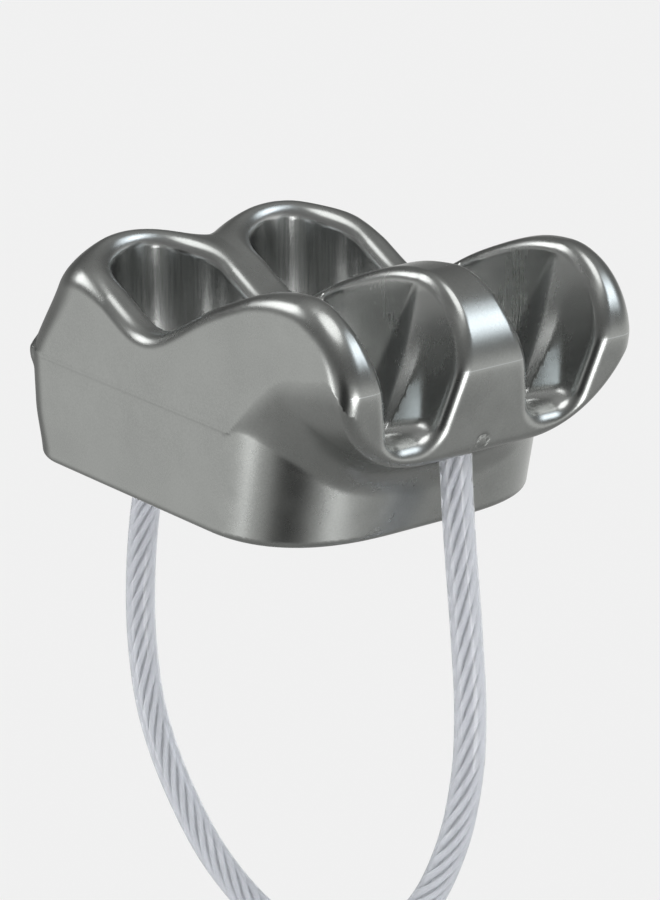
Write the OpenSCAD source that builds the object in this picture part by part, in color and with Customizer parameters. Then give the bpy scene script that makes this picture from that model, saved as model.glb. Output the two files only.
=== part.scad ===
// Tube-style belay device: forged body with two rope slots, friction grooves
// at the front (+X) and a sheathed steel wire keeper loop below.
// Millimetres. Origin: middle web's bottom face. +X front, +Z up.

/* [Show] */
// Sub-part to show

/* [Body] */
// Full width across both outer walls
body_width = 40.2; // [39:0.2:41]
// Height of the front horns
horn_top = 29.2; // [28.4:0.2:30]
// Height of the parting line at the rear
parting_z = 12; // [11:0.5:13]
// Corner radius of the lower skirt
skirt_corner_r = 7; // [5:0.5:8]

/* [Rope slots] */
// Distance between the two slot centrelines
slot_pitch = 19; // [18.6:0.2:19.4]
// Clear width of each slot
slot_width = 13.2; // [12.4:0.2:13.4]
// Radius of the narrower front end of each slot
slot_front_r = 4.6; // [4:0.2:5]
// Height of the friction groove's floor
groove_floor = 12.4; // [12:0.2:13.5]
// Half width of the groove at its floor
groove_half = 3; // [2.6:0.1:3.4]

/* [Cable] */
// Outside diameter of the clear sheath
sheath_d = 3.5; // [3.3:0.1:3.6]
// Inside diameter of the clear sheath
sheath_bore_d = 2.6; // [2.55:0.05:2.7]
// Diameter of each strand
strand_d = 0.76; // [0.6:0.02:0.78]
// Lay length of the outer strands
lay_length = 16; // [15:0.5:20]
// Radial clearance of sheath and ferrules in the bores
bore_gap = 0.05; // [0.03:0.01:0.08]

/* [Hidden] */
$fn = 64;
half_w = body_width / 2;
slot_r = slot_width / 2;
sy = slot_pitch / 2;
bore_r = sheath_d / 2 + bore_gap;
front_bore_x = 21.9;
rear_top = [-24.8, 12.6];
rear_tilt = 22;
ferrule_len = 8;

// points on an arc, from angle a0 to a1 in n steps
function arc(x, z, r, a0, a1, n) =
  [for (i = [0:n]) let (g = a0 + (a1 - a0) * i / n) [x + r * cos(g), z + r * sin(g)]];

// side profile, seen from -Y: x right, z up
module side_profile() {
  crown = horn_top - 9.2;
  polygon(concat(
    // underside, skirt front, brow
    [[-30.5, 1.5], [-29.3, 0], [18, 0], [19.4, 10], [25.3, 10], [26, 10.8]],
    // nose and crown of the horn
    arc(19, crown, 9.2, 0, 84, 10),
    arc(19.5, horn_top - 26, 26, 92, 128.8, 8),
    // dip, then the rear rim
    arc(-6.8, 27.5, 8.6, -59.9, -115.2, 8),
    arc(-20.5, 15, 9, 60, 90, 4),
    arc(-24.3, 20.3, 3.7, 90, 158, 6),
    // rear face down to the parting line
    [[-31.3, parting_z + 1], [-31.3, parting_z]]));
}

// outline of the upper body seen from above
module upper_plan() {
  hull() {
    for (s = [-1, 1]) {
      translate([-31.3 + 7, s * (half_w - 7)]) circle(7);
      translate([28.4 - 3.2, s * (half_w - 3.2)]) circle(3.2);
    }
  }
}

// outline of the lower skirt seen from above
module skirt_plan() {
  hull() {
    for (s = [-1, 1]) {
      translate([-31.3 + 7, s * (half_w - 7)]) circle(7);
      translate([19.5 - skirt_corner_r, s * (half_w - skirt_corner_r)])
        circle(skirt_corner_r);
    }
  }
}

// one rope slot seen from above, centred on its own centreline
module slot_plan() {
  translate([-15.4, 0]) circle(slot_r);
  polygon([[-15.4, -slot_r], [4, -slot_r], [10.9, -slot_front_r],
           [10.9, slot_front_r], [4, slot_r], [-15.4, slot_r]]);
  translate([10.9, 0]) circle(slot_front_r);
}

// friction groove section, seen along X: y right, z up
module groove_section() {
  h = groove_half;
  polygon([[-h + 1, groove_floor], [h - 1, groove_floor], [h, groove_floor + 1],
           [h + 2.9, groove_floor + 8.6], [slot_r, groove_floor + 10.8],
           [slot_r, 36], [-slot_r, 36], [-slot_r, groove_floor + 10.8],
           [-h - 2.9, groove_floor + 8.6], [-h, groove_floor + 1]]);
}

// recess under each horn: outside the skirt, below the horn's rounded corner
module horn_underside() {
  for (s = [-1, 1])
    difference() {
      intersection() {
        union() {
          translate([20, 0, 10.4]) rotate([90, 0, 0]) cylinder(r = 9.2, h = 60, center = true);
          translate([20, -30, -1]) cube([12, 60, 19.9]);
        }
        translate([13.3, s > 0 ? half_w - 8.9 : -half_w - 5.1, -1]) cube([19, 14, 19.9]);
      }
      translate([0, s * (half_w - 8.9), 18.95]) rotate([0, 90, 0]) cylinder(r = 9, h = 40);
      translate([0, 0, -2]) linear_extrude(30) skirt_plan();
    }
}

module rear_bore_place() {
  translate([rear_top[0], 0, rear_top[1]]) rotate([0, 180 + rear_tilt, 0]) children();
}

module body() {
  color("#8b8d8a")
  difference() {
    intersection() {
      rotate([90, 0, 0]) linear_extrude(60, center = true) side_profile();
      translate([0, 0, -1]) linear_extrude(40) upper_plan();
    }
    // front of the skirt steps back under the brow, with rounded corners
    difference() {
      translate([13.3, -30, -1]) cube([24, 60, 10.9]);
      translate([0, 0, -2]) linear_extrude(30) skirt_plan();
    }
    horn_underside();
    for (s = [-1, 1]) {
      translate([0, s * sy, -1]) linear_extrude(40) slot_plan();
      translate([3.9, s * sy, 0]) rotate([90, 0, 90]) linear_extrude(30) groove_section();
    }
    // shallow valley between the two rear lobes
    translate([-41.8, 0, 10]) rotate([0, 32, 0]) cylinder(r = 8, h = 20);
    // blind cable bores
    translate([front_bore_x, 0, 5]) cylinder(r = bore_r, h = 15.4);
    rear_bore_place() translate([0, 0, -0.4]) cylinder(r = bore_r, h = 24);
    // set mark of the staking punch in front of the cable's end
    translate([25.8, -0.1, 11.6]) rotate([0, 90, 0]) difference() {
      cylinder(r = 0.9, h = 1);
      translate([0, 0, -1]) cylinder(r = 0.55, h = 3);
    }
  }
}

// swaged sleeve on a cable end
module ferrule() {
  difference() {
    cylinder(d = sheath_d, h = ferrule_len);
    translate([0, 0, -1]) cylinder(d = sheath_bore_d, h = ferrule_len + 2);
  }
}

module front_ferrule() {
  color("#b9bcc0") translate([front_bore_x, 0, 20 - ferrule_len]) ferrule();
}

module rear_ferrule() {
  color("#b9bcc0") rear_bore_place() ferrule();
}

// hand-placed route of the keeper loop, x and z
route = [[21.9, 20], [21.9, 15], [21.9, 10], [22.3, 4], [23.1, -3], [24.1, -11],
         [24.8, -19], [24.4, -27], [22, -36], [17, -45], [9, -52.5], [-1, -56.5],
         [-11, -56.8], [-21, -53], [-28.5, -46.5], [-33.5, -39], [-35.6, -31],
         [-35.9, -22.5], [-34.7, -13], [-32.3, -5.5], [-29.9, -0.02], [-27.36, 6.26],
         [-24.8, 12.6]];
seg = len(route) - 1;

// Catmull-Rom point at parameter t (0 to seg)
function rp(i) = route[max(0, min(seg, i))];
function cr(a, b, c, d, u) =
  0.5 * (2 * b + (c - a) * u + (2 * a - 5 * b + 4 * c - d) * u * u
         + (3 * b - a - 3 * c + d) * u * u * u);
function at(t) = let (i = min(seg - 1, floor(t)), u = t - i)
  cr(i == 0 ? 2 * rp(0) - rp(1) : rp(i - 1), rp(i), rp(i + 1),
     i == seg - 1 ? 2 * rp(seg) - rp(seg - 1) : rp(i + 2), u);

// table of arc length against parameter, then even steps along the loop
fine = 8 * seg;
function acc(i, s) = i == 0 ? [0] :
  let (p = acc(i - 1, s)) concat(p, [p[i - 1] + norm(at(i / 8) - at((i - 1) / 8))]);
lens = acc(fine, 0);
loop_len = lens[fine];
function find(s, lo, hi) = hi - lo <= 1 ? lo :
  let (m = floor((lo + hi) / 2)) lens[m] <= s ? find(s, m, hi) : find(s, lo, m);
function t_of(s) = let (i = find(s, 0, fine))
  (i + (s - lens[i]) / (lens[i + 1] - lens[i])) / 8;
// centre and in-plane normal at arc length s
function centre(s) = at(t_of(s));
function tang(s) = let (a = centre(max(0.01, s - 0.4)), b = centre(min(loop_len - 0.01, s + 0.4)))
  (b - a) / norm(b - a);
// point at offset r, angle g round the cable at length s
function around(s, r, g) = let (c = centre(s), d = tang(s))
  [c[0] - d[1] * r * cos(g), r * sin(g), c[1] + d[0] * r * cos(g)];

function ring_faces(n, k, rev) = [for (i = [0:n - 2], j = [0:k - 1])
  let (a = i * k + j, b = i * k + (j + 1) % k, c = a + k, d = b + k)
  each (rev ? [[a, b, d], [a, d, c]] : [[a, d, b], [a, c, d]])];

// solid rod following the loop at a helical offset
module rod(s0, s1, n, k, r, off, phase) {
  turn = off > 0 ? -360 / lay_length : 0;
  pts = [for (i = [0:n - 1]) let (s = s0 + (s1 - s0) * i / (n - 1), g = phase + turn * s,
                                  c = centre(s), d = tang(s),
                                  p = around(s, off, g), q = around(s, 1, g),
                                  o = [c[0], 0, c[1]], e = q - o,
                                  w = 2 * PI * off / lay_length,
                                  f = cross([d[0], 0, d[1]], e),
                                  h = (off > 0 ? f - w * (turn < 0 ? -1 : 1) * [d[0], 0, d[1]] : f))
    for (j = [0:k - 1]) p + r * (cos(360 * j / k) * e
                                 + sin(360 * j / k) * h / norm(h))];
  m = n * k;
  polyhedron(concat(pts, [[for (j = [0:0]) 0, 0, 0]]),
             concat(ring_faces(n, k, true), [[for (j = [k - 1:-1:0]) j]],
                    [[for (j = [0:k - 1]) (n - 1) * k + j]]));
}

// tube following the loop
module tube(s0, s1, n, k, ro, ri) {
  pts = [for (r = [ro, ri], i = [0:n - 1], j = [0:k - 1])
    around(s0 + (s1 - s0) * i / (n - 1), r, 360 * j / k)];
  m = n * k;
  ends = [for (j = [0:k - 1]) let (a = j, b = (j + 1) % k, e = (n - 1) * k)
    each [[a, a + m, b + m], [a, b + m, b], [e + a, e + b + m, e + a + m],
          [e + a, e + b, e + b + m]]];
  inner = [for (f = ring_faces(n, k, false)) [f[0] + m, f[1] + m, f[2] + m]];
  polyhedron(pts, concat(ring_faces(n, k, true), inner, ends));
}

module cable_sheath() {
  color("#e6eaee", 0.5)
    tube(ferrule_len + 0.2, loop_len - ferrule_len - 0.2, 78, 12, sheath_d / 2, sheath_bore_d / 2);
}

module core_strand() {
  color("#c9cbce") rod(0.4, loop_len - 0.4, 60, 8, strand_d / 2, 0, 0);
}

module outer_strand(i) {
  color("#c9cbce") rod(0.4, loop_len - 0.4, 116, 6, strand_d / 2, 0.85, 60 * i);
}
module outer_strand_1() { outer_strand(1); }
module outer_strand_2() { outer_strand(2); }
module outer_strand_3() { outer_strand(3); }
module outer_strand_4() { outer_strand(4); }
module outer_strand_5() { outer_strand(5); }
module outer_strand_6() { outer_strand(6); }

body();
front_ferrule();
rear_ferrule();
cable_sheath();
core_strand();
outer_strand_1();
outer_strand_2();
outer_strand_3();
outer_strand_4();
outer_strand_5();
outer_strand_6();
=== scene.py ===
"""Belay device with a keeper loop: the looks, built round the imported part. Run as a script in Blender."""

import math

import bpy
import numpy as np
import openvdb
from bpy.props import FloatProperty, PointerProperty, StringProperty
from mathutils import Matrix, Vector


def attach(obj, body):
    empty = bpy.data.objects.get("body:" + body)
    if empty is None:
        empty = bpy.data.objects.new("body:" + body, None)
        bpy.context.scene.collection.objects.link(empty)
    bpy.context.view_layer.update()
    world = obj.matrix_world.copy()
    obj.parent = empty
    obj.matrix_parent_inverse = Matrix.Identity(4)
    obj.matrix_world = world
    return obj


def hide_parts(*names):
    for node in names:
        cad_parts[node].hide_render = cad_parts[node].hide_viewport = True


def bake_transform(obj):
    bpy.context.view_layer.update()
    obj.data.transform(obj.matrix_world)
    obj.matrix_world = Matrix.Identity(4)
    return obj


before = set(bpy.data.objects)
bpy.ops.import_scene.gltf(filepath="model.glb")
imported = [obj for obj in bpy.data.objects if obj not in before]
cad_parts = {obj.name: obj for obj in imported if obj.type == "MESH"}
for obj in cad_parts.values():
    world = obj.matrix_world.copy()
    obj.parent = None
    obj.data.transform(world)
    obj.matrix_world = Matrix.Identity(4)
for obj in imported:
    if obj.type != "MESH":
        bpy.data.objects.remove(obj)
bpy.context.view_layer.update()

bl_info = {
    "name": "Belay device",
    "version": (1, 0, 0),
    "blender": (4, 5, 0),
    "location": "View3D > Sidebar > Belay device",
    "description": "Builds a forged belay device and its plastic-coated keeper loop",
    "category": "Object",
}

MM = 0.001

# pattern sizes in mm and fixed colours of the materials
CLOUD_MM = 6
# a thin painted highlight line on the nose: where it lies, its half width and its lighter colour
HAIRLINE_X, HAIRLINE_Z, HAIRLINE_HALF_WIDTH, HIGHLIGHT_LINE_COLOUR = 27.75, 20.2, 0.055, "#B9BCBC"
# colour of the painted shade in the valleys between the wires
VALLEY_SHADE_COLOUR = "#D9DBDF"


# ---------------------------------------------------------------- colours and materials


def linear(hex_colour):
    """An sRGB hex colour as linear RGBA."""
    text = hex_colour.lstrip("#")
    parts = [int(text[i : i + 2], 16) / 255 for i in (0, 2, 4)]
    return (*[p / 12.92 if p <= 0.04045 else ((p + 0.055) / 1.055) ** 2.4 for p in parts], 1.0)


def add_node(tree, kind, settings=None, **links):
    """Adds a node. settings name properties or input sockets; links name input sockets and what feeds them."""
    node = tree.nodes.new(kind)
    for key, value in (settings or {}).items():
        if isinstance(key, str) and hasattr(node, key):
            setattr(node, key, value)
        else:
            node.inputs[key].default_value = value
    for key, source in links.items():
        socket = node.inputs[int(key[1:])] if key[0] == "_" else node.inputs[key.replace("_", " ")]
        tree.links.new(source, socket)
    return node


def new_material(name):
    """An empty node material and its node tree."""
    material = bpy.data.materials.new(name)
    material.use_nodes = True
    material.node_tree.nodes.clear()
    return material, material.node_tree


def close_material(tree, shader):
    """Feeds the shader to the material's output."""
    output = tree.nodes.new("ShaderNodeOutputMaterial")
    tree.links.new(shader.outputs[0], output.inputs["Surface"])


def colour_ramp(tree, stops, source):
    """A colour ramp whose stops are (place, hex colour) pairs."""
    node = add_node(tree, "ShaderNodeValToRGB", None, Fac=source)
    ramp = node.color_ramp
    while len(ramp.elements) < len(stops):
        ramp.elements.new(0.5)
    for element, (place, colour) in zip(ramp.elements, stops):
        element.position, element.color = place, linear(colour)
    return node


def noise(tree, size_mm, detail, roughness, place):
    """Noise whose features are about size_mm across."""
    settings = {"Scale": 1 / (size_mm * MM), "Detail": detail, "Roughness": roughness}
    return add_node(tree, "ShaderNodeTexNoise", settings, Vector=place).outputs["Fac"]


def value_range(tree, source, low, high, start=0.0, end=1.0):
    """Maps source from start..end to low..high."""
    settings = {"From Min": start, "From Max": end, "To Min": low, "To Max": high}
    return add_node(tree, "ShaderNodeMapRange", settings, Value=source).outputs[0]


def bump(tree, source, strength, depth_mm, before=None, strength_from=None):
    """A bump of depth_mm, on top of the one before."""
    links = {"Height": source}
    if before is not None:
        links["Normal"] = before
    if strength_from is not None:
        links["Strength"] = strength_from
    return add_node(tree, "ShaderNodeBump", {"Strength": strength, "Distance": depth_mm * MM}, **links).outputs[0]


def mix_colour(tree, amount, first, second):
    """Mixes a fed colour towards a fixed hex colour."""
    settings = {"data_type": "RGBA", 7: linear(second)}
    return add_node(tree, "ShaderNodeMix", settings, _0=amount, _6=first).outputs[2]


def principled(tree, colour, roughness, normal, settings):
    """Closes the material with a Principled shader."""
    shader = add_node(
        tree, "ShaderNodeBsdfPrincipled", settings, Base_Color=colour, Roughness=roughness, Normal=normal
    )
    close_material(tree, shader)


def anodised_aluminium(settings):
    """Grey anodised aluminium, drop-forged and tumbled: a satin metal with a very fine grit and a soft cloudy tone,
    with a painted highlight that lightens its sharp edges.
    The slot walls are broached, which leaves fine upright lines and a tighter shine."""
    material, tree = new_material("anodised_aluminium_forged")
    place = add_node(tree, "ShaderNodeTexCoord").outputs["Object"]
    # tumbled grit, finer on the real thing; drawn at grit_mm so that it shows
    grit = noise(tree, settings.grit_mm, 3.0, 0.6, place)
    # cloudy variation of the anodic film
    cloud = noise(tree, CLOUD_MM, 4.0, 0.55, place)
    wall = add_node(tree, "ShaderNodeAttribute", {"attribute_name": "slot_wall"}).outputs["Fac"]
    edge_highlight = add_node(tree, "ShaderNodeAttribute", {"attribute_name": "painted_edge_highlight"}).outputs["Fac"]
    # broaching lines: 0.25 mm apart and long in Z
    stretched = add_node(tree, "ShaderNodeMapping", {"Scale": (4000.0, 4000.0, 90.0)}, Vector=place)
    line_settings = {"Scale": 1.0, "Detail": 3.0, "Roughness": 0.7}
    lines = add_node(tree, "ShaderNodeTexNoise", line_settings, Vector=stretched.outputs[0]).outputs["Fac"]

    tone = colour_ramp(tree, [(0.3, settings.dark), (0.7, settings.light)], cloud)
    speck = value_range(tree, grit, 0.93, 1.07, 0.3, 0.7)
    speckled = add_node(tree, "ShaderNodeVectorMath", {"operation": "SCALE"}, _0=tone.outputs[0], Scale=speck)
    # painted highlight: sharp edges are mixed towards the lighter edge tone
    edged = mix_colour(tree, edge_highlight, speckled.outputs[0], settings.edge)
    walled = mix_colour(tree, wall, edged, settings.slot)
    # painted highlight: a thin lighter line where the crown arc of the nose meets the front face
    spot = add_node(tree, "ShaderNodeSeparateXYZ", None, Vector=place)
    line_settings = {"operation": "COMPARE", 1: HAIRLINE_Z * MM, 2: HAIRLINE_HALF_WIDTH * MM}
    at_line = add_node(tree, "ShaderNodeMath", line_settings, _0=spot.outputs["Z"])
    on_nose = add_node(tree, "ShaderNodeMath", {"operation": "GREATER_THAN", 1: HAIRLINE_X * MM}, _0=spot.outputs["X"])
    highlight_line = add_node(
        tree, "ShaderNodeMath", {"operation": "MULTIPLY"}, _0=at_line.outputs[0], _1=on_nose.outputs[0]
    )
    lined = mix_colour(tree, highlight_line.outputs[0], walled, HIGHLIGHT_LINE_COLOUR)

    rough_out = value_range(tree, cloud, settings.roughness - 0.03, settings.roughness + 0.04, 0.3, 0.7)
    rough_in = value_range(tree, lines, 0.17, 0.25, 0.3, 0.7)
    rough = add_node(tree, "ShaderNodeMix", None, _0=wall, _2=rough_out, _3=rough_in).outputs[0]
    line_strength = add_node(tree, "ShaderNodeMath", {"operation": "MULTIPLY", 1: 0.06}, _0=wall).outputs[0]
    gritty = bump(tree, grit, 0.10, 0.02)
    normal = bump(tree, lines, 1.0, 0.05, before=gritty, strength_from=line_strength)
    principled(tree, lined, rough, normal, {"Metallic": 1.0})
    return material


def swaged_aluminium(settings):
    """Plain aluminium, swaged: a soft pale metal with shallow press rings 0.8 mm apart and cloudy wear."""
    material, tree = new_material("aluminium_plain_swaged")
    place = add_node(tree, "ShaderNodeTexCoord").outputs["Object"]
    ring_settings = {
        "wave_type": "BANDS", "bands_direction": "Z", "Scale": 1 / (0.8 * MM) / 6.28, "Distortion": 0.6,
    }
    rings = add_node(tree, "ShaderNodeTexWave", ring_settings, Vector=place).outputs["Fac"]
    cloud = noise(tree, 1.5, 4.0, 0.5, place)
    tone = colour_ramp(tree, [(0.3, "#A3A5A7"), (0.7, settings.ferrule)], cloud).outputs[0]
    rough = value_range(tree, cloud, 0.22, 0.4)
    principled(tree, tone, rough, bump(tree, rings, 0.4, 0.05), {"Metallic": 1.0})
    return material


def steel_wire(settings):
    """Stainless steel wire, drawn and laid up in strands: pale silver with a dull film, and painted shade that darkens
    the valleys between the wires and the sides of the strands that face the cable's middle."""
    material, tree = new_material("stainless_steel_wire_laid")
    place = add_node(tree, "ShaderNodeTexCoord").outputs["Object"]
    valley = add_node(tree, "ShaderNodeAttribute", {"attribute_name": "valley"}).outputs["Fac"]
    film = noise(tree, 0.7, 4.0, 0.5, place)
    tone = colour_ramp(tree, [(0.3, settings.wire_dark), (0.7, settings.wire)], film).outputs[0]
    # painted shade in the valleys between the wires
    shaded = mix_colour(tree, valley, tone, VALLEY_SHADE_COLOUR)
    rough = value_range(tree, film, 0.3, 0.5)
    principled(tree, shaded, rough, bump(tree, film, 0.2, 0.02), {"Metallic": 0.1})
    return material


def clear_pvc(settings):
    """Clear soft PVC, extruded over the cable: glassy with a slight milk, and a faint ripple along it from the
    strands below."""
    material, tree = new_material("clear_pvc_extruded")
    place = add_node(tree, "ShaderNodeTexCoord").outputs["Object"]
    ripple = noise(tree, 2.0, 3.0, 0.5, place)
    milk = colour_ramp(tree, [(0.3, settings.sheath_dark), (0.7, settings.sheath)], ripple).outputs[0]
    rough = value_range(tree, ripple, 0.02, 0.07)
    principled(tree, milk, rough, bump(tree, ripple, 0.25, 0.06), {"IOR": 1.4, "Transmission Weight": 0.82})
    return material


def pale_paper(settings):
    """Matt white backdrop paper, rolled out flat: even and without shine, with a faint fibre tone."""
    material, tree = new_material("backdrop_paper_matt")
    place = add_node(tree, "ShaderNodeTexCoord").outputs["Object"]
    fibre = add_node(tree, "ShaderNodeTexNoise", {"Scale": 3.0, "Detail": 2.0}, Vector=place)
    tone = colour_ramp(tree, [(0.0, settings.floor), (1.0, settings.floor)], fibre.outputs["Fac"])
    matt = {"Roughness": 1.0, "Specular IOR Level": 0.0}
    shader = add_node(tree, "ShaderNodeBsdfPrincipled", matt, Base_Color=tone.outputs[0])
    close_material(tree, shader)
    return material


# ---------------------------------------------------------------- the sizes and colours a user would change


def colour_setting(name, description, default):
    """A setting that holds an sRGB hex colour."""
    return StringProperty(name=name, description="sRGB hex of " + description, default=default)


def length_setting(name, description, default):
    """A setting that holds a length in metres."""
    return FloatProperty(name=name, description=description, default=default, unit="LENGTH", precision=5)


class StageSettings(bpy.types.PropertyGroup):
    focal: FloatProperty(name="Focal length", description="Lens of the studio camera in mm", default=159.96, min=20)
    floor: colour_setting("Floor colour", "the paper floor", "#F6F6F6")
    floor_drop: length_setting("Floor drop", "How far the floor lies under the device", 0.25)


class BodySettings(bpy.types.PropertyGroup):
    dark: colour_setting("Darker tone", "the darker clouds in the anodising", "#9FA19F")
    light: colour_setting("Lighter tone", "the lighter clouds in the anodising", "#A8AAA8")
    # the edge tone is a painted highlight: the lighter colour laid on the sharp edges
    edge: colour_setting("Edge tone", "the burnished edges", "#B4B6B6")
    slot: colour_setting("Slot tone", "the broached slot walls", "#D2D3D2")
    roughness: FloatProperty(
        name="Roughness", description="Roughness of the tumbled surface", default=0.27, min=0, max=1
    )
    grit_mm: FloatProperty(name="Grit", description="Size of the tumbled grit in mm", default=0.2, min=0.02)
    step_mm: FloatProperty(
        name="Mesh step", description="Edge length of the body's mesh in mm", default=0.32, min=0.1
    )


class LoopSettings(bpy.types.PropertyGroup):
    sheath_d: length_setting("Sheath diameter", "Outside diameter of the plastic coat", 3.5 * MM)
    strand_d: length_setting("Strand diameter", "Diameter of each of the seven strands", 0.76 * MM)
    lay_length: length_setting("Lay length", "Length in which a strand goes once round", 16 * MM)
    sheath: colour_setting("Sheath tone", "the clear coat", "#F6F9FF")
    sheath_dark: colour_setting("Sheath darker tone", "the cloudier coat", "#F0F3F8")
    wire: colour_setting("Wire tone", "the wires", "#FDFDFE")
    wire_dark: colour_setting("Wire darker tone", "the duller wires", "#F4F5F7")
    ferrule: colour_setting("Ferrule tone", "the ferrules", "#C5C7C9")


# ---------------------------------------------------------------- small mesh helpers


def mesh_object(name, points, faces, normals=None):
    """A mesh object from points and faces, smooth shaded."""
    mesh = bpy.data.meshes.new(name)
    mesh.from_pydata([tuple(p) for p in points], [], [tuple(f) for f in faces])
    mesh.update()
    mesh.polygons.foreach_set("use_smooth", [True] * len(mesh.polygons))
    if normals is not None:
        mesh.normals_split_custom_set_from_vertices([tuple(n) for n in normals])
    piece = bpy.data.objects.new(name, mesh)
    bpy.context.scene.collection.objects.link(piece)
    return piece


def set_attribute(piece, name, values):
    """Gives each point of the piece a value that its material reads."""
    attribute = piece.data.attributes.new(name, "FLOAT", "POINT")
    attribute.data.foreach_set("value", np.asarray(values, np.float32))


# ---------------------------------------------------------------- the forged body, as a distance field in mm


def round_max(a, b, r):
    """Larger of two distances, with the edge between them rounded to radius r: what both leave standing."""
    return np.minimum(np.maximum(a, b), -r) + np.hypot(np.maximum(a + r, 0), np.maximum(b + r, 0))


def round_min(a, b, r):
    """Smaller of two distances, with the inner corner between them filled to radius r."""
    return -round_max(-a, -b, r)


def ramp(x, a, b):
    """0 before a, 1 after b, smooth between."""
    t = np.clip((x - a) / (b - a), 0, 1)
    return t * t * (3 - 2 * t)


HALF_WIDTH = 20.1
REAR_X, FRONT_X = -31.3, 28.2
PARTING_Z = 12
CROWN_R = 9.2  # between the top of a horn and its front face
SLOT_Y, SLOT_R = 9.5, 6.6  # middle of each rope slot, and half its width
LIP_Z = 13.1  # floor of the grooves at the front
FRONT_BORE_X = 21.9
REAR_BORE = (-24.8, 12.6)  # x and z of its blind end
BORE_R, REAR_BORE_TILT = 1.8, math.radians(22)
PUNCH_MARK = (-0.1, 11.6)  # y and z

# height of the top rim along the body
RIM = np.array([
    (-40, 22.8), (-30, 22.8), (-24.5, 23.3), (-20, 23.5), (-15.9, 22.5), (-11.9, 20.6), (-8.6, 19.2), (-5.8, 19.1),
    (-2.1, 20.5), (3.2, 23.5), (8.5, 26.0), (14.5, 28.15), (18.5, 28.75), (22, 28.85), (30, 28.85), (40, 28.85),
])
# height of the arc along which each friction rib ends
RIB_ARC = np.array([
    (-40, 0), (0, 0), (4, 4.5), (8.9, 10.2), (14, 16.3), (17.5, 19.5), (19.9, 20.95), (21.6, 21.7), (24.9, 22.7),
    (40, 24),
])


def spline(knots):
    """A natural cubic through the knots, as a function that gives height and slope."""
    x, y = knots[:, 0], knots[:, 1]
    n = len(x)
    h = np.diff(x)
    matrix, right = np.eye(n), np.zeros(n)
    for i in range(1, n - 1):
        matrix[i, i - 1 : i + 2] = h[i - 1], 2 * (h[i - 1] + h[i]), h[i]
        right[i] = 6 * ((y[i + 1] - y[i]) / h[i] - (y[i] - y[i - 1]) / h[i - 1])
    m = np.linalg.solve(matrix, right)

    def value(at):
        i = np.clip(np.searchsorted(x, at) - 1, 0, n - 2)
        a, b, hi = x[i + 1] - at, at - x[i], h[i]
        height = (m[i] * a**3 + m[i + 1] * b**3) / (6 * hi)
        height = height + (y[i] / hi - m[i] * hi / 6) * a + (y[i + 1] / hi - m[i + 1] * hi / 6) * b
        slope = (m[i + 1] * b**2 - m[i] * a**2) / (2 * hi) + (y[i + 1] - y[i]) / hi - (m[i + 1] - m[i]) * hi / 6
        return height, slope

    return value


rim = spline(RIM)
rib_arc = spline(RIB_ARC)


def capsule(x, y, x0, r0, x1, r1):
    """Distance to two circles on the X axis and the straight sides that touch both."""
    length = x1 - x0
    s = (r0 - r1) / length
    c = math.sqrt(1 - s * s)
    y = np.abs(y)
    k = c * (x - x0) - s * y  # along the straight side
    side = s * (x - x0) + c * y - r0
    last = np.where(k > c * length, np.hypot(x - x1, y) - r1, side)
    return np.where(k < 0, np.hypot(x - x0, y) - r0, last)


def slot_field(x, y, z):
    """Each slot with its friction groove: below zero in the open space. Gives both joined, the slot and the groove."""
    yy = np.abs(y) - SLOT_Y
    plan = np.minimum(capsule(x, yy, -15.4, SLOT_R, 4.0, SLOT_R), capsule(x, yy, 4.0, SLOT_R, 10.9, 4.6))
    # groove floor: level over the lip, then falling to the rear
    lip = z - LIP_Z + 0.075 * np.maximum(x - 23.5, 0) ** 2
    fall = -0.662 * (x - 20.5) + 0.749 * (z - LIP_Z)
    h = round_max(lip, fall, 2.5)
    # flanks open upwards, and more so behind the nose
    behind = 0.5 * (19.2 - x + np.hypot(19.2 - x, 0.6))
    half = 3.1 + 0.24 * (z - 13.3) + 0.39 * behind
    # friction rib: stands out from the flank under an arc, with a narrow face to the front
    rib = round_min(0.2 * (rib_arc(x)[0] - z), 0.5 * (22.5 + 0.14 * (22.1 - z) - x), 0.8)
    half = half - 0.5 * (rib + np.hypot(rib, 0.3)) * ramp(z, 6, 10)
    groove = round_max((np.abs(yy) - half) / 1.08, -h, 2.0)
    groove = round_max(groove, np.abs(yy) - SLOT_R, 0.25)
    groove = np.maximum(groove, 3.0 - x)
    return round_min(plan, groove, 0.5), plan, groove


def outer_field(x, y, ay, z):
    """The forging without its skirt, slots and bores. Also gives its side and its front alone."""
    parting = 0.035 * np.exp(-(((z - PARTING_Z) / 0.25) ** 2)) * (1 - ramp(x, 8, 11))
    side = ay - (HALF_WIDTH - 0.01 * np.abs(z - PARTING_Z)) - parting
    # the rear face leans in above the parting line, with a valley down its middle
    above = z - 12.3
    rear = np.where(above > 0, (REAR_X - x + 0.46 * above) * 0.908, REAR_X - x - 0.04 * above) - parting
    rear = rear + 2.3 * np.exp(-((y / 3.5) ** 2)) * ramp(z, 12, 22)
    lean = np.maximum(20.5 - z, 0)
    front = x - (FRONT_X - 0.24 * lean * lean / (lean + 1.5))
    height, slope = rim(x)
    height = height + 2.3 * np.exp(-(((ay - 9.8) / 6.0) ** 2)) * ramp(-x, 12, 23)
    top = (z - height) / np.sqrt(1 + slope**2)
    edge = np.interp(x, [-27, -20, -14, 12, 22], [3.8, 2.8, 1.7, 1.7, 2.6])
    corner = 5.6 + 2.0 * ramp(z, 12, 21) + 1.2 * (1 - ramp(z, 0, 6))
    outer = round_max(round_max(side, rear, corner), round_max(front, top, CROWN_R), edge)
    # flash nub left at the parting line of each rear corner
    nub = np.sqrt((x + 28.55) ** 2 + (ay - 18.3) ** 2 + ((z - 11.6) * 0.8) ** 2) - 1.15
    return round_min(outer, nub, 0.6), side, front


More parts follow.
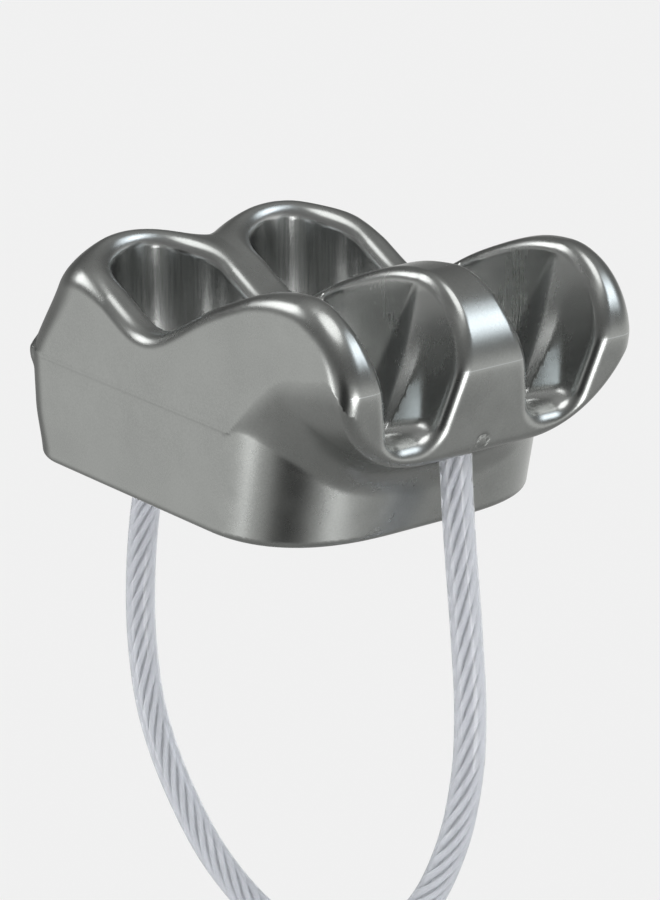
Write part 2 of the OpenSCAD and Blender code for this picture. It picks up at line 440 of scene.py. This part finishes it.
def skirt_field(x, ay, z):
    """The recessed skirt: flat in front, with superelliptical corners."""
    x0, y0, semi_x, semi_y, power = 4.0 + 0.2 * z, 4.5 - 0.01 * np.abs(z - PARTING_Z), 13.8, 15.62, 2.5
    px, py = np.maximum(x - x0, 0) / semi_x, np.maximum(ay - y0, 0) / semi_y
    reach = (px**power + py**power) ** (1 / power)
    grad = np.hypot(px**1.5 / semi_x, py**1.5 / semi_y) / np.maximum(reach, 1e-6) ** 1.5
    return np.where(reach > 1e-6, (reach - 1) / np.maximum(grad, 0.02), -8)


def bore_field(x, y, z):
    """The bores that take the keeper loop's ends."""
    front = np.maximum(np.hypot(x - FRONT_BORE_X, y) - BORE_R, np.maximum(5 - z, z - 20.4))
    sin, cos = math.sin(REAR_BORE_TILT), math.cos(REAR_BORE_TILT)
    dx, dz = x - REAR_BORE[0], z - REAR_BORE[1]
    rear = np.maximum(np.hypot(dx * cos - dz * sin, y) - BORE_R, -0.4 + dx * sin + dz * cos)
    return np.minimum(front, rear)


def body_field(x, y, z, parts=False):
    """The forged body: below zero inside. With parts, also the slots and grooves alone."""
    ay = np.abs(y)
    outer, side, front = outer_field(x, y, ay, z)
    # the roll under each horn grows out of the side face, from a ledge at the parting line
    under = np.maximum(11.6 * np.sin(np.pi / 2 * np.clip((x - 8.0) / 12.5, 0, 1)), 0.3) + 1.5 * ramp(x, 19, 27)
    ledge = 10 + 1.8 * (1 - ramp(x, 7, 15))
    brow = np.maximum(side, round_max(side - 0.005 * under, ledge - z, under))
    skirt = skirt_field(x, ay, z)
    fillet = 0.3 + 6.0 * (1 - np.exp(-0.13 * np.maximum(skirt - side, 0)))
    body = np.maximum(outer, round_min(brow, skirt, fillet))
    body = np.maximum(body, round_min(round_max(front, brow, 1.3), skirt, fillet))
    body = round_max(body, -0.3 - z, 0.8)
    slot, plan, groove = slot_field(x, y, z)
    rim_r = np.interp(x, [-24, -20, -14, 10, 22], [2.3, 2.1, 1.4, 1.3, 1.5])
    body = round_max(body, -slot, rim_r)
    body = round_max(body, -bore_field(x, y, z), 0.25)
    # ring left by the staking punch, and a slip of the punch beside it
    from_mark = np.hypot(y - PUNCH_MARK[0], z - PUNCH_MARK[1])
    slip = 0.8 * np.exp(-(((y + 1.1) / 0.3) ** 2) - ((z - 11.0) / 0.35) ** 2)
    mark = np.exp(-(((from_mark - 0.72) / 0.17) ** 2)) + slip
    body = body + 0.13 * mark * ramp(x, 23, 24.5)
    if parts:
        return body, np.minimum(plan, groove)
    return body


def field_normal(points, e):
    """Unit gradient of the body's field at points."""
    x, y, z = points.T
    grad = np.stack([
        body_field(x + e, y, z) - body_field(x - e, y, z),
        body_field(x, y + e, z) - body_field(x, y - e, z),
        body_field(x, y, z + e) - body_field(x, y, z - e),
    ], 1) / (2 * e)
    size = np.linalg.norm(grad, axis=1, keepdims=True)
    return grad / np.maximum(size, 1e-6), size[:, 0]


def settle(points, steps):
    """Moves points onto the body's surface along its gradient."""
    for _ in range(steps):
        normal, size = field_normal(points, 0.02)
        away = body_field(*points.T) / np.clip(size, 0.4, 2)
        points = points - normal * np.clip(away, -0.3, 0.3)[:, None]
    return points


def body_surface(step):
    """Points and faces of the body's surface, in mm."""
    low, high = np.array([-33.0, -21.4, -1.4]), np.array([29.6, 21.4, 31.0])
    axes = [np.arange(a, b + step, step) for a, b in zip(low, high)]
    gx, gy, gz = np.meshgrid(*axes, indexing="ij")
    values = body_field(gx.ravel(), gy.ravel(), gz.ravel()).reshape(gx.shape)
    grid = openvdb.FloatGrid(background=3.0)
    grid.copyFromArray(np.ascontiguousarray(np.clip(values, -3, 3), dtype=np.float32))
    points, quads = grid.convertToQuads(0.0)
    return settle(points.astype(float) * step + low, 3), quads


# ---------------------------------------------------------------- the keeper loop's route, in mm


# x and z of points along the cable, from its front end to its rear end
ROUTE = np.array([
    (21.9, 20), (21.9, 15), (21.9, 10), (22.3, 4), (23.1, -3), (24.1, -11), (24.8, -19), (24.4, -27), (22, -36),
    (17, -45), (9, -52.5), (-1, -56.5), (-11, -56.8), (-21, -53), (-28.5, -46.5), (-33.5, -39), (-35.6, -31),
    (-35.9, -22.5), (-34.7, -13), (-32.3, -5.5), (-29.9, -0.02), (-27.36, 6.26), (-24.8, 12.6),
])
FERRULE_LENGTH = 8.0


def smooth_route():
    """Finely spaced points of the route and their arc lengths."""
    p = np.vstack([2 * ROUTE[0] - ROUTE[1], ROUTE, 2 * ROUTE[-1] - ROUTE[-2]])
    u = np.linspace(0, 1, 40, endpoint=False)[:, None]
    out = []
    for i in range(len(ROUTE) - 1):
        a, b, c, d = p[i : i + 4]
        out.append(0.5 * (2 * b + (c - a) * u + (2 * a - 5 * b + 4 * c - d) * u**2 + (3 * b - a - 3 * c + d) * u**3))
    out = np.vstack([*out, ROUTE[-1:]])
    return out, np.concatenate([[0], np.cumsum(np.linalg.norm(np.diff(out, axis=0), axis=1))])


route_points, route_lengths = smooth_route()
loop_length = float(route_lengths[-1])


def route_at(s):
    """Centre and direction (x, z) of the route at arc lengths s."""
    centre = np.stack([np.interp(s, route_lengths, route_points[:, k]) for k in (0, 1)], 1)
    ahead = np.clip(s + 0.4, 0, loop_length)
    behind = np.clip(s - 0.4, 0, loop_length)
    first, last = ([np.interp(at, route_lengths, route_points[:, k]) for k in (0, 1)] for at in (behind, ahead))
    d = np.stack([last[k] - first[k] for k in (0, 1)], 1)
    return centre, d / np.linalg.norm(d, axis=1, keepdims=True)


def around(s, r, angle):
    """Points at offset r and angle round the route at arc lengths s."""
    c, d = route_at(s)
    sideways = r * np.cos(angle)
    return np.stack([c[:, 0] - d[:, 1] * sideways, r * np.sin(angle), c[:, 1] + d[:, 0] * sideways], 1)


def tube_faces(rings, sides):
    """Quads of a tube made of rings that follow one another."""
    i, j = np.meshgrid(np.arange(rings - 1), np.arange(sides), indexing="ij")
    a, b = i * sides + j, i * sides + (j + 1) % sides
    return np.stack([a, b, b + sides, a + sides], -1).reshape(-1, 4).tolist()


# ---------------------------------------------------------------- operators


CAMERA_AT = (0.3277, -0.2562, 0.1429)
CAMERA_AZIMUTH, CAMERA_ELEVATION = 51.94, 18.51  # degrees, seen from front right and a little above
FLOOR_SIZE = 6.0
BOX_DISTANCE = 2.0
# direction, half angle in degrees, colour, radiance
SOFT_BOXES = [
    ((0.15, -0.15, 1.0), 22, "#FFFFFF", 1.7),
    ((0.53, 0.61, 0.57), 19, "#EEF7FF", 1.2),
    ((0.56, 0.60, 0.55), 11, "#EEF7FF", 1.6),
    ((-0.75, -0.45, 0.48), 14, "#FFFFFF", 2.6),
    ((-0.25, -0.93, -0.22), 11, "#FFFFFF", 2.0),
    ((0.95, -0.02, -0.36), 14, "#FFFFFF", 3.4),
]
# direction, outer and inner half angle in degrees, what is left of the light
DARK_CARDS = [
    ((0.62, -0.75, -0.31), 34, 17, 0.05),
    ((-0.98, 0.08, -0.12), 34, 14, 0.3),
]
# brightness of the surround, from straight down (0) to straight up (1)
SURROUND = [
    (0.0, 0.30), (0.2, 0.40), (0.32, 0.86), (0.43, 0.88), (0.52, 0.34), (0.62, 0.20), (0.72, 0.20), (1.0, 0.45),
]
TENT = 0.95


def soft_box(direction, spread, colour, radiance):
    """Adds a round soft box that only shiny surfaces pick up."""
    radius = BOX_DISTANCE * math.tan(math.radians(spread))
    data = bpy.data.lights.new("soft_box", "AREA")
    data.shape, data.size = "DISK", 2 * radius
    data.color = linear(colour)[:3]
    data.energy = 4 * math.pi * radius**2 * radiance
    box = bpy.data.objects.new("soft_box", data)
    bpy.context.scene.collection.objects.link(box)
    away = Vector(direction).normalized()
    box.location = away * BOX_DISTANCE
    box.rotation_euler = away.to_track_quat("Z", "Y").to_euler()
    box.visible_camera = box.visible_diffuse = box.visible_transmission = False


def dark_card(tree, place, light, direction, outer, inner, left):
    """Dims the surround in a round patch with a soft edge."""
    facing = {"operation": "DOT_PRODUCT", 1: tuple(Vector(direction).normalized())}
    card = add_node(tree, "ShaderNodeVectorMath", facing, _0=place)
    fade = {
        "interpolation_type": "SMOOTHSTEP",
        "From Min": math.cos(math.radians(outer)), "From Max": math.cos(math.radians(inner)),
        "To Min": 1.0, "To Max": left,
    }
    shade = add_node(tree, "ShaderNodeMapRange", fade, Value=card.outputs["Value"])
    return add_node(tree, "ShaderNodeVectorMath", {"operation": "SCALE"}, _0=light, Scale=shade.outputs[0]).outputs[0]


class BELAY_OT_stage(bpy.types.Operator):
    """Sets up the pale floor, the soft studio surround and the camera"""

    bl_idname = "belay.stage"
    bl_label = "Stage"

    def execute(self, context):
        settings = context.scene.belay_stage
        context.scene.view_settings.view_transform = "Standard"
        self.camera(context.scene, settings)
        self.floor(settings)
        self.surround(context.scene)
        for box in SOFT_BOXES:
            soft_box(*box)
        return {"FINISHED"}

    def camera(self, scene, settings):
        azimuth, elevation = math.radians(CAMERA_AZIMUTH), math.radians(CAMERA_ELEVATION)
        camera = bpy.data.objects.new("camera", bpy.data.cameras.new("camera"))
        scene.collection.objects.link(camera)
        camera.location = CAMERA_AT
        level = math.cos(elevation)
        back = Vector((math.sin(azimuth) * level, -math.cos(azimuth) * level, math.sin(elevation)))
        camera.rotation_euler = back.to_track_quat("Z", "Y").to_euler()
        camera.data.sensor_width = camera.data.sensor_height = 36
        camera.data.sensor_fit = "AUTO"
        camera.data.lens = settings.focal
        camera.data.clip_start = 0.01
        scene.camera = camera

    def floor(self, settings):
        corners = [(-1, -1), (1, -1), (1, 1), (-1, 1)]
        floor = mesh_object("floor", [(x * FLOOR_SIZE, y * FLOOR_SIZE, 0) for x, y in corners], [(0, 1, 2, 3)])
        floor.location.z = -settings.floor_drop
        floor.data.materials.append(pale_paper(settings))
        floor.visible_glossy = False
        floor.visible_transmission = False
        floor.visible_shadow = False

    def surround(self, scene):
        world = bpy.data.worlds.new("studio")
        scene.world = world
        world.use_nodes = True
        tree = world.node_tree
        tree.nodes.clear()
        place = tree.nodes.new("ShaderNodeTexCoord").outputs["Generated"]
        height = add_node(tree, "ShaderNodeSeparateXYZ", None, Vector=place)
        level = value_range(tree, height.outputs["Z"], 0.0, 1.0, -1.0, 1.0)
        base = add_node(tree, "ShaderNodeValToRGB", None, Fac=level)
        elements = base.color_ramp.elements
        while len(elements) < len(SURROUND):
            elements.new(0.5)
        for element, (at, grey) in zip(elements, SURROUND):
            element.position, element.color = at, (grey, grey, grey * 0.985, 1)
        light = base.outputs["Color"]
        for card in DARK_CARDS:
            light = dark_card(tree, place, light, *card)
        # metal mirrors the surround; matt and clear things see one even white tent
        path = tree.nodes.new("ShaderNodeLightPath").outputs
        mirrored = add_node(
            tree, "ShaderNodeMath", {"operation": "MULTIPLY"}, _0=path["Is Glossy Ray"], _1=path["Is Reflection Ray"]
        )
        tent_settings = {"data_type": "RGBA", 6: (TENT, TENT, TENT, 1)}
        tent = add_node(tree, "ShaderNodeMix", tent_settings, _0=mirrored.outputs[0], _7=light)
        background = add_node(tree, "ShaderNodeBackground", {"Strength": 1.0}, Color=tent.outputs[2])
        world.cycles.sampling_method = "NONE"
        output = tree.nodes.new("ShaderNodeOutputWorld")
        tree.links.new(background.outputs[0], output.inputs["Surface"])


STRAND_OFFSET = 0.85  # from the cable's middle to the middle of an outer strand
WIRE_LAY = 7  # length in which a wire goes once round its strand


class BELAY_OT_keeper_loop(bpy.types.Operator):
    """Builds the keeper loop: the clear coat and the seven twisted strands inside it"""

    bl_idname = "belay.keeper_loop"
    bl_label = "Keeper loop"

    def execute(self, context):
        settings = context.scene.belay_loop
        wire = steel_wire(settings)
        strands = [self.strand(settings, wire, number) for number in range(7)]
        sheath, path = self.coat(settings)
        for piece in [*strands, sheath]:
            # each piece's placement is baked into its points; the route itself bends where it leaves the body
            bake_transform(piece)
        return {"FINISHED"}

    def strand(self, settings, wire, number):
        """The core (0) or an outer strand (1 to 6), as one mesh of six wires round one."""
        name = f"outer_strand_{number}" if number else "core_strand"
        r = settings.strand_d / MM / 2
        turn = -2 * math.pi / (settings.lay_length / MM)
        rings, sides = 420, 18
        s = np.linspace(0.4, loop_length - 0.4, rings)
        g = math.radians(60 * number) + (turn * s if number else 0 * s)
        middle = around(s, STRAND_OFFSET if number else 0.0, g)
        out = around(s, 1.0, g) - around(s, 0.0, g)
        d = route_at(s)[1]
        along = np.stack([d[:, 0], 0 * s, d[:, 1]], 1)
        side = np.cross(along, out)
        if number:
            side = side - (2 * math.pi * STRAND_OFFSET / (settings.lay_length / MM)) * np.sign(turn) * along
        side = side / np.linalg.norm(side, axis=1, keepdims=True)
        angle = np.arange(sides) * 2 * math.pi / sides
        # the wires are laid the other way round
        lobe = 6 * (angle[None, :] + s[:, None] * 2 * math.pi / WIRE_LAY)
        radius = (r * (0.93 + 0.07 * np.cos(lobe)))[..., None]
        outwards, sideways = np.cos(angle)[None, :, None], np.sin(angle)[None, :, None]
        points = middle[:, None, :] + radius * (outwards * out[:, None, :] + sideways * side[:, None, :])
        ends = [list(range(sides))[::-1], [(rings - 1) * sides + j for j in range(sides)]]
        piece = mesh_object(name + "_wires", points.reshape(-1, 3) * MM, tube_faces(rings, sides) + ends)
        # painted shade: darker where the wires touch their neighbours and on each outer strand's side that faces the
        # cable's middle; the core strand is darkened evenly
        towards = -np.cos(angle)[None, :] + 0 * s[:, None] if number else np.full(lobe.shape, 0.5)
        set_attribute(piece, "valley", (0.3 * (1 - np.cos(lobe)) / 2 + 0.4 * np.clip(towards, 0, 1)).ravel())
        piece.data.materials.append(wire)
        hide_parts(name)
        return piece

    def coat(self, settings):
        """The coat is extruded onto the strands, so it is one solid round them. Also gives its ring centres."""
        rings, sides = 260, 32
        s = np.linspace(FERRULE_LENGTH + 0.2, loop_length - FERRULE_LENGTH - 0.2, rings)
        g = np.arange(sides) * 2 * math.pi / sides
        radius = settings.sheath_d / MM / 2
        c, d = route_at(s)
        sideways = radius * np.cos(g)
        skin = np.stack([
            c[:, None, 0] - d[:, None, 1] * sideways,
            np.broadcast_to(radius * np.sin(g), (rings, sides)),
            c[:, None, 1] + d[:, None, 0] * sideways,
        ], -1).reshape(-1, 3)
        ends = [list(range(sides)), [(rings - 1) * sides + j for j in range(sides)][::-1]]
        faces = [f[::-1] for f in tube_faces(rings, sides)] + ends
        sheath = mesh_object("cable_sheath_coat", skin * MM, faces)
        sheath.data.materials.append(clear_pvc(settings))
        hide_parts("cable_sheath")
        return sheath, around(s, 0.0, 0 * s) * MM


class BELAY_OT_ferrules(bpy.types.Operator):
    """Gives the two swaged ferrules their finish"""

    bl_idname = "belay.ferrules"
    bl_label = "Ferrules"

    def execute(self, context):
        finish = swaged_aluminium(context.scene.belay_loop)
        for name in ("front_ferrule", "rear_ferrule"):
            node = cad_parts[name]
            node.data.materials.clear()
            node.data.materials.append(finish)
        return {"FINISHED"}


class BELAY_OT_body(bpy.types.Operator):
    """Builds the forged body with its slots, grooves, horns and rounded edges"""

    bl_idname = "belay.body"
    bl_label = "Forged body"

    def execute(self, context):
        settings = context.scene.belay_body
        points, quads = body_surface(settings.step_mm)
        normal, _ = field_normal(points, 0.06)
        piece = mesh_object("forged_body", points * MM, quads.tolist(), normal)
        # the surface must face outwards
        face = piece.data.polygons[0]
        if Vector(face.normal).dot(Vector(normal[face.vertices[0]])) < 0:
            bpy.data.objects.remove(piece)
            piece = mesh_object("forged_body", points * MM, quads[:, ::-1].tolist(), normal)
        x, y, z = points.T
        _, slot = body_field(x, y, z, parts=True)
        inside = 1 - ramp(np.abs(slot), 0.02, 0.35)
        # the slots are broached, their grooves in front are not
        set_attribute(piece, "slot_wall", inside * (1 - 0.75 * ramp(x, 4, 12)))
        # on a sharp edge the field falls off more slowly under the surface
        sharp = body_field(*(points - 0.6 * normal).T) + 0.6
        # painted highlight: the sharper the edge, the more its colour is lightened
        set_attribute(piece, "painted_edge_highlight", np.clip(sharp * 6, 0, 1) * 0.6)
        piece.data.materials.append(anodised_aluminium(settings))
        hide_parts("body")
        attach(piece, "device_body")
        return {"FINISHED"}


class BELAY_PT_panel(bpy.types.Panel):
    """Lists the belay device's pieces"""

    bl_idname = "BELAY_PT_panel"
    bl_label = "Belay device"
    bl_space_type = "VIEW_3D"
    bl_region_type = "UI"
    bl_category = "Belay device"

    def draw(self, context):
        scene = context.scene
        groups = (
            (scene.belay_stage, ["belay.stage"]),
            (scene.belay_loop, ["belay.keeper_loop", "belay.ferrules"]),
            (scene.belay_body, ["belay.body"]),
        )
        for settings, operators in groups:
            box = self.layout.box()
            for operator in operators:
                box.operator(operator)
            for name in settings.__annotations__:
                box.prop(settings, name)


CLASSES = (
    StageSettings, BodySettings, LoopSettings,
    BELAY_OT_stage, BELAY_OT_keeper_loop, BELAY_OT_ferrules, BELAY_OT_body, BELAY_PT_panel,
)


def register():
    for cls in CLASSES:
        bpy.utils.register_class(cls)
    bpy.types.Scene.belay_stage = PointerProperty(type=StageSettings)
    bpy.types.Scene.belay_body = PointerProperty(type=BodySettings)
    bpy.types.Scene.belay_loop = PointerProperty(type=LoopSettings)


def unregister():
    for name in ("belay_stage", "belay_body", "belay_loop"):
        delattr(bpy.types.Scene, name)
    for cls in reversed(CLASSES):
        bpy.utils.unregister_class(cls)


def main():
    register()
    bpy.ops.belay.stage()
    bpy.ops.belay.keeper_loop()
    bpy.ops.belay.ferrules()
    bpy.ops.belay.body()


if __name__ == "__main__":
    main()
